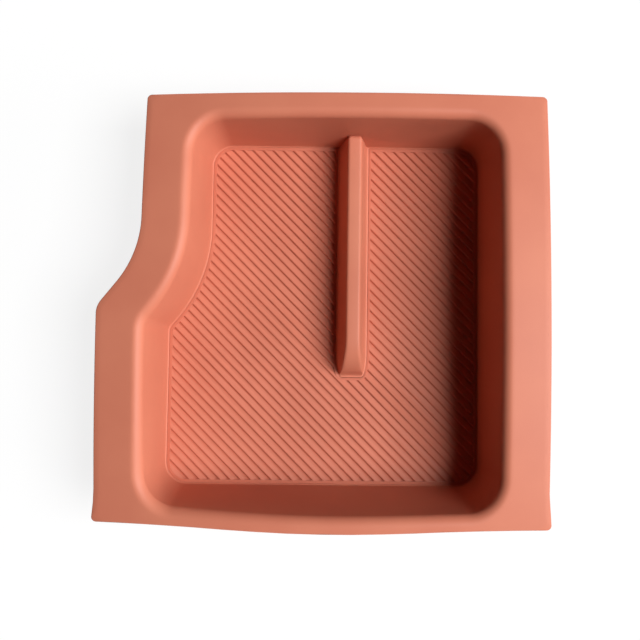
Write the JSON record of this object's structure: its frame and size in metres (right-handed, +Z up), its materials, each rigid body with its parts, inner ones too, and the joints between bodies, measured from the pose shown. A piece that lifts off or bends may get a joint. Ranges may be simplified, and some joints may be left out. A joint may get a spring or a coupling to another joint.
{
  "type": "storage tray insert",
  "caption": "Soft moulded storage tray with a crowned rim, a curved notch in one side, a half-length divider and a loose ribbed floor mat.",
  "frame": {"origin": "on the surface the tray stands on, under the middle of the rim", "axes": "+X to the right, away from the notched side; +Y to the back, where the divider starts; +Z up"},
  "size_m": [0.205, 0.196, 0.0512],
  "materials": {
    "shell": "matt, moulded",
    "mat": "matt, moulded, ribbed"
  },
  "bodies": {
    "tray": {"tray_shell": "shell", "divider": "shell"},
    "mat": {"floor_mat": "mat"}
  },
  "joints": [
    {"name": "mat_lift", "type": "slide", "parent": "tray", "child": "mat", "axis": [0, 0, 1], "range_m": [0, 0.06]}
  ]
}
